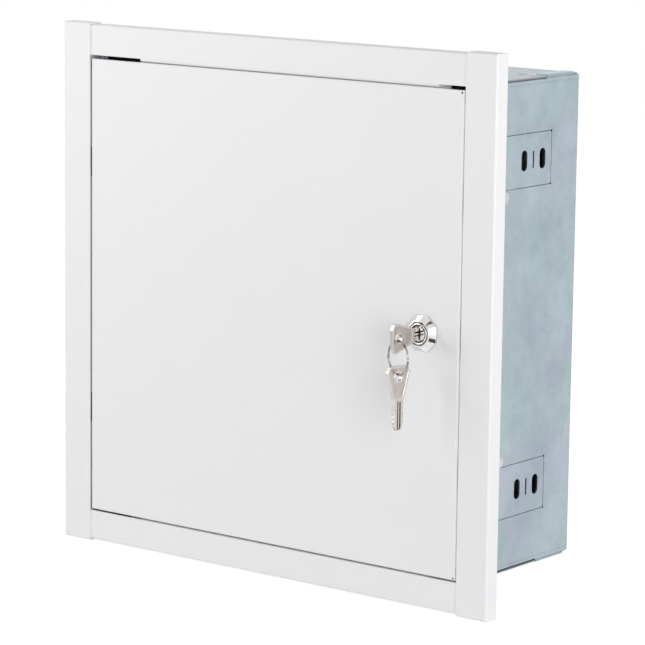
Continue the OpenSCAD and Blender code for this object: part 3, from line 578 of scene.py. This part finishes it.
def turned_ring(name, radius, width, rise, body, material):
    """A low round bead, turned on the face of the lock round its axis"""
    centre = Vector((LOCK_X, LOCK_FACE, LOCK_Z))
    bm = bmesh.new()
    bmesh.ops.create_circle(bm, segments=BEAD_SIDES, radius=0.5)
    bmesh.ops.scale(bm, verts=bm.verts, vec=(width, 2 * rise, 1))
    bmesh.ops.translate(bm, verts=bm.verts, vec=centre + Vector((radius, 0, 0)))
    bmesh.ops.spin(bm, geom=bm.verts[:] + bm.edges[:], cent=centre, axis=(0, 1, 0), steps=ROUND,
                   angle=math.tau, use_merge=True, use_duplicate=False)
    bmesh.ops.remove_doubles(bm, verts=bm.verts, dist=MERGE)
    bmesh.ops.recalc_face_normals(bm, faces=bm.faces)
    piece = placed(bm, name, material)
    piece.data.shade_smooth()
    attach(piece, body)


MOTTLE = 900.0                   # specks per metre in the painted shade, so about 1.1 mm wide, coarse enough to show


def shade_film(name, colour):
    """Painted shade in joints, grooves and sunk mouths: nearly black, mottled, with a dull gloss"""
    material, tree, place = finish_named(name)
    mottle = add(tree, "TexNoise", {"Vector": place, "Scale": MOTTLE, "Detail": 3.0})
    film = add(tree, "MixRGB", {0: mottle.outputs[0], 1: tone(colour), 2: tone("#55504d")})
    rough = add(tree, "MapRange", {"Value": mottle.outputs[0], "To Min": 0.3, "To Max": 0.6})
    shader = add(tree, "BsdfPrincipled", {
        "Base Color": film.outputs[0],
        "Roughness": rough.outputs[0],
    })
    add(tree, "OutputMaterial", {"Surface": shader.outputs[0]})
    return material


painted_shade = shade_film("painted_shade_in_the_groove", "#1c1a19")
# The joint round the plug and the turned groove are thin dark beads of painted shade; the bead between them is
# chrome.
for name, radius, width, rise, body, material in (
    ("plug_joint", 0.00704, 0.0006, 0.00006, "door", painted_shade),
    ("plug_groove", 0.0054, 0.0006, 0.00005, "lock", painted_shade),
    ("plug_bead", 0.0062, 0.0008, 0.0002, "lock", chrome),
):
    turned_ring(name, radius, width, rise, body, material)

FILM_W = 0.0046                # painted shade beside the keyway, for its sunk mouth
FILM_H = 0.0094                # its height
FILM = 0.00004                 # its thickness
KEYWAY_HALF = 0.00135          # the film ends beside the slot, so that the key slides clear
for name, side in (("keyway_shade_left", -1), ("keyway_shade_right", 1)):
    bm = bmesh.new()
    bmesh.ops.create_circle(bm, segments=ROUND // 2, radius=0.5, cap_ends=True)
    bmesh.ops.scale(bm, verts=bm.verts, vec=(FILM_W, FILM_H, 1))
    bmesh.ops.bisect_plane(bm, geom=bm.verts[:] + bm.edges[:] + bm.faces[:], dist=1e-7,
                           plane_co=(side * KEYWAY_HALF, 0, 0), plane_no=(side, 0, 0),
                           clear_inner=True)
    bmesh.ops.rotate(bm, verts=bm.verts, matrix=Matrix.Rotation(math.radians(90), 3, "X"))
    bmesh.ops.translate(bm, verts=bm.verts, vec=(LOCK_X, LOCK_FACE - FILM / 2, LOCK_Z))
    bmesh.ops.solidify(bm, geom=bm.faces[:], thickness=FILM)
    bmesh.ops.recalc_face_normals(bm, faces=bm.faces)
    film = placed(bm, name, painted_shade)
    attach(film, "lock")


# ---- Keys ---------------------------------------------------------------------------------
# Two nickel-plated brass keys, pressed and milled, worn a little in patches, with painted highlight
# on their raised rims and painted shade in their sunk fields and grooves. One is in the lock, the spare one hangs
# from the ring.

WEAR = 260.0                   # worn patches per metre, so about 3.8 mm wide
SCRATCHES = (900, 900, 90)     # scratches per metre: 1.1 mm apart and 11 mm long


def nickel_plated(name, light, shade, groove_shade, middle, turn, width_axis, length_axis, way):
    """Nickel plate on brass: lighter on the raised rims than in the sunk field as painted highlight
    and shade, worn in patches, nearly black in the milled grooves as painted shade, and scratched by the other key"""
    material, tree, place = finish_named(name)
    flat = add(tree, "Mapping", {"Vector": place, "Location": middle, "Rotation": (0, 0, turn)},
               vector_type="TEXTURE")
    axes = add(tree, "SeparateXYZ", {0: flat.outputs[0]})
    from_middle = add(tree, "Math", {0: axes.outputs["X"]}, operation="ABSOLUTE")
    width = axes.outputs[width_axis]
    along = add(tree, "Math", {0: axes.outputs[length_axis], 1: way}, operation="MULTIPLY")
    bow = add(tree, "Math", {0: along.outputs[0], 1: SHOULDER}, operation="LESS_THAN")
    haze = add(tree, "TexNoise", {"Vector": place, "Scale": WEAR, "Detail": 5.0})
    lines = add(tree, "Mapping", {"Vector": place, "Scale": SCRATCHES})
    scratch = add(tree, "TexNoise", {"Vector": lines.outputs[0], "Scale": 1.0, "Detail": 3.0})
    # Painted highlight and shade: the raised rims lighter, the sunk field darker.
    raised = add(tree, "MapRange", {"Value": from_middle.outputs[0], "From Min": FIELD,
                                    "From Max": RIM})
    sunk = add(tree, "MapRange", {"Value": from_middle.outputs[0], "From Min": GROOVE,
                                  "From Max": FIELD})
    worn = add(tree, "Math", {0: raised.outputs[0], 1: haze.outputs[0]}, operation="ADD")
    metal = add(tree, "MixRGB", {0: worn.outputs[0], 1: tone(shade), 2: tone(light)},
                use_clamp=True)
    # Painted shade: nearly black in the blade's milled grooves and along a fine cut beside them.
    off_line = add(tree, "Math", {0: width}, operation="ABSOLUTE")
    edge = add(tree, "Math", {0: off_line.outputs[0], 1: GROOVE_SIDE}, operation="GREATER_THAN")
    unshaded = add(tree, "Math", {0: sunk.outputs[0], 1: edge.outputs[0]}, operation="MAXIMUM")
    off_cut = add(tree, "Math", {0: width, 1: CUT_LINE}, operation="SUBTRACT")
    off_cut = add(tree, "Math", {0: off_cut.outputs[0]}, operation="ABSOLUTE")
    off_cut = add(tree, "MapRange", {"Value": off_cut.outputs[0], "From Min": 0.6 * CUT_HALF,
                                     "From Max": CUT_HALF})
    unshaded = add(tree, "Math", {0: unshaded.outputs[0], 1: off_cut.outputs[0]}, operation="MINIMUM")
    unshaded = add(tree, "Math", {0: unshaded.outputs[0], 1: bow.outputs[0]}, operation="MAXIMUM")
    metal = add(tree, "MixRGB", {0: unshaded.outputs[0], 1: tone(groove_shade), 2: metal.outputs[0]})
    rough = add(tree, "MapRange", {"Value": scratch.outputs[0], "To Min": 0.2, "To Max": 0.4})
    bump = add(tree, "Bump", {"Height": scratch.outputs[0], "Strength": 0.15, "Distance": 0.0001})
    shader = add(tree, "BsdfPrincipled", {
        "Base Color": metal.outputs[0],
        "Metallic": 1.0,
        "Roughness": rough.outputs[0],
        "Normal": bump.outputs[0],
    })
    add(tree, "OutputMaterial", {"Surface": shader.outputs[0]})
    return material


RIM = 0.0011                   # the raised rims stand this far from a key's middle plane
FIELD = 0.00085                # the sunk field of the bow
GROOVE = 0.00062               # the floor of the milled grooves
GROOVE_SIDE = 0.0021           # nothing beyond this from the middle line is milled so deep
CUT_LINE = -0.0006             # a dark line of painted shade where a fine cut runs beside the milled groove
CUT_HALF = 0.0005              # half the width of that painted line, with its soft edges
SHOULDER = 0.002               # the blade begins this far beyond the middle of a key
KEY_EASE = 0.00015             # the broken edges of a key

ring_axis = next(j["axis"] for j in frame["joints"] if j["name"] == "spare_key_swing")
spare_turn = math.atan2(ring_axis[1], ring_axis[0]) / 2     # it hangs turned half as far
for node, turn, width_axis, length_axis, way in (
    ("key_in_lock", 0.0, "Z", "Y", 1.0),
    ("spare_key", spare_turn, "Y", "Z", -1.0),
):
    middle = [(a + b) / 2 for a, b in zip(*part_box(node))]
    # 221f1d is the painted shade in the grooves.
    nickel = nickel_plated("worn_and_shaded_nickel_" + node, "#d8d1cb", "#b5aba4", "#221f1d",
                           middle, turn, width_axis, length_axis, way)
    eased(node, KEY_EASE, nickel)


# ---- Key ring -----------------------------------------------------------------------------
# A ring of hard-drawn steel wire through both keys' bows, tumbled bright, with dark stretches
# painted along it as painted reflection.

PATCH = 0.006                  # length of a dark or a bright stretch of painted reflection


def drawn_wire(name, light, reflection_dark):
    """Drawn steel wire: bright, with soft dark stretches of painted reflection along it"""
    material, tree, place = finish_named(name)
    patch = add(tree, "TexNoise", {"Vector": place, "Scale": 1 / PATCH, "Detail": 2.0})
    band = add(tree, "MapRange", {"Value": patch.outputs[0], "From Min": 0.42, "From Max": 0.60})
    steel = add(tree, "MixRGB", {0: band.outputs[0], 1: tone(reflection_dark), 2: tone(light)})
    rough = add(tree, "MapRange", {"Value": patch.outputs[0], "To Min": 0.14, "To Max": 0.3})
    shader = add(tree, "BsdfPrincipled", {
        "Base Color": steel.outputs[0],
        "Metallic": 1.0,
        "Roughness": rough.outputs[0],
    })
    add(tree, "OutputMaterial", {"Surface": shader.outputs[0]})
    return material


dress(drawn_wire("drawn_steel_wire", "#aaa7a5", "#45413f"), "key_ring")
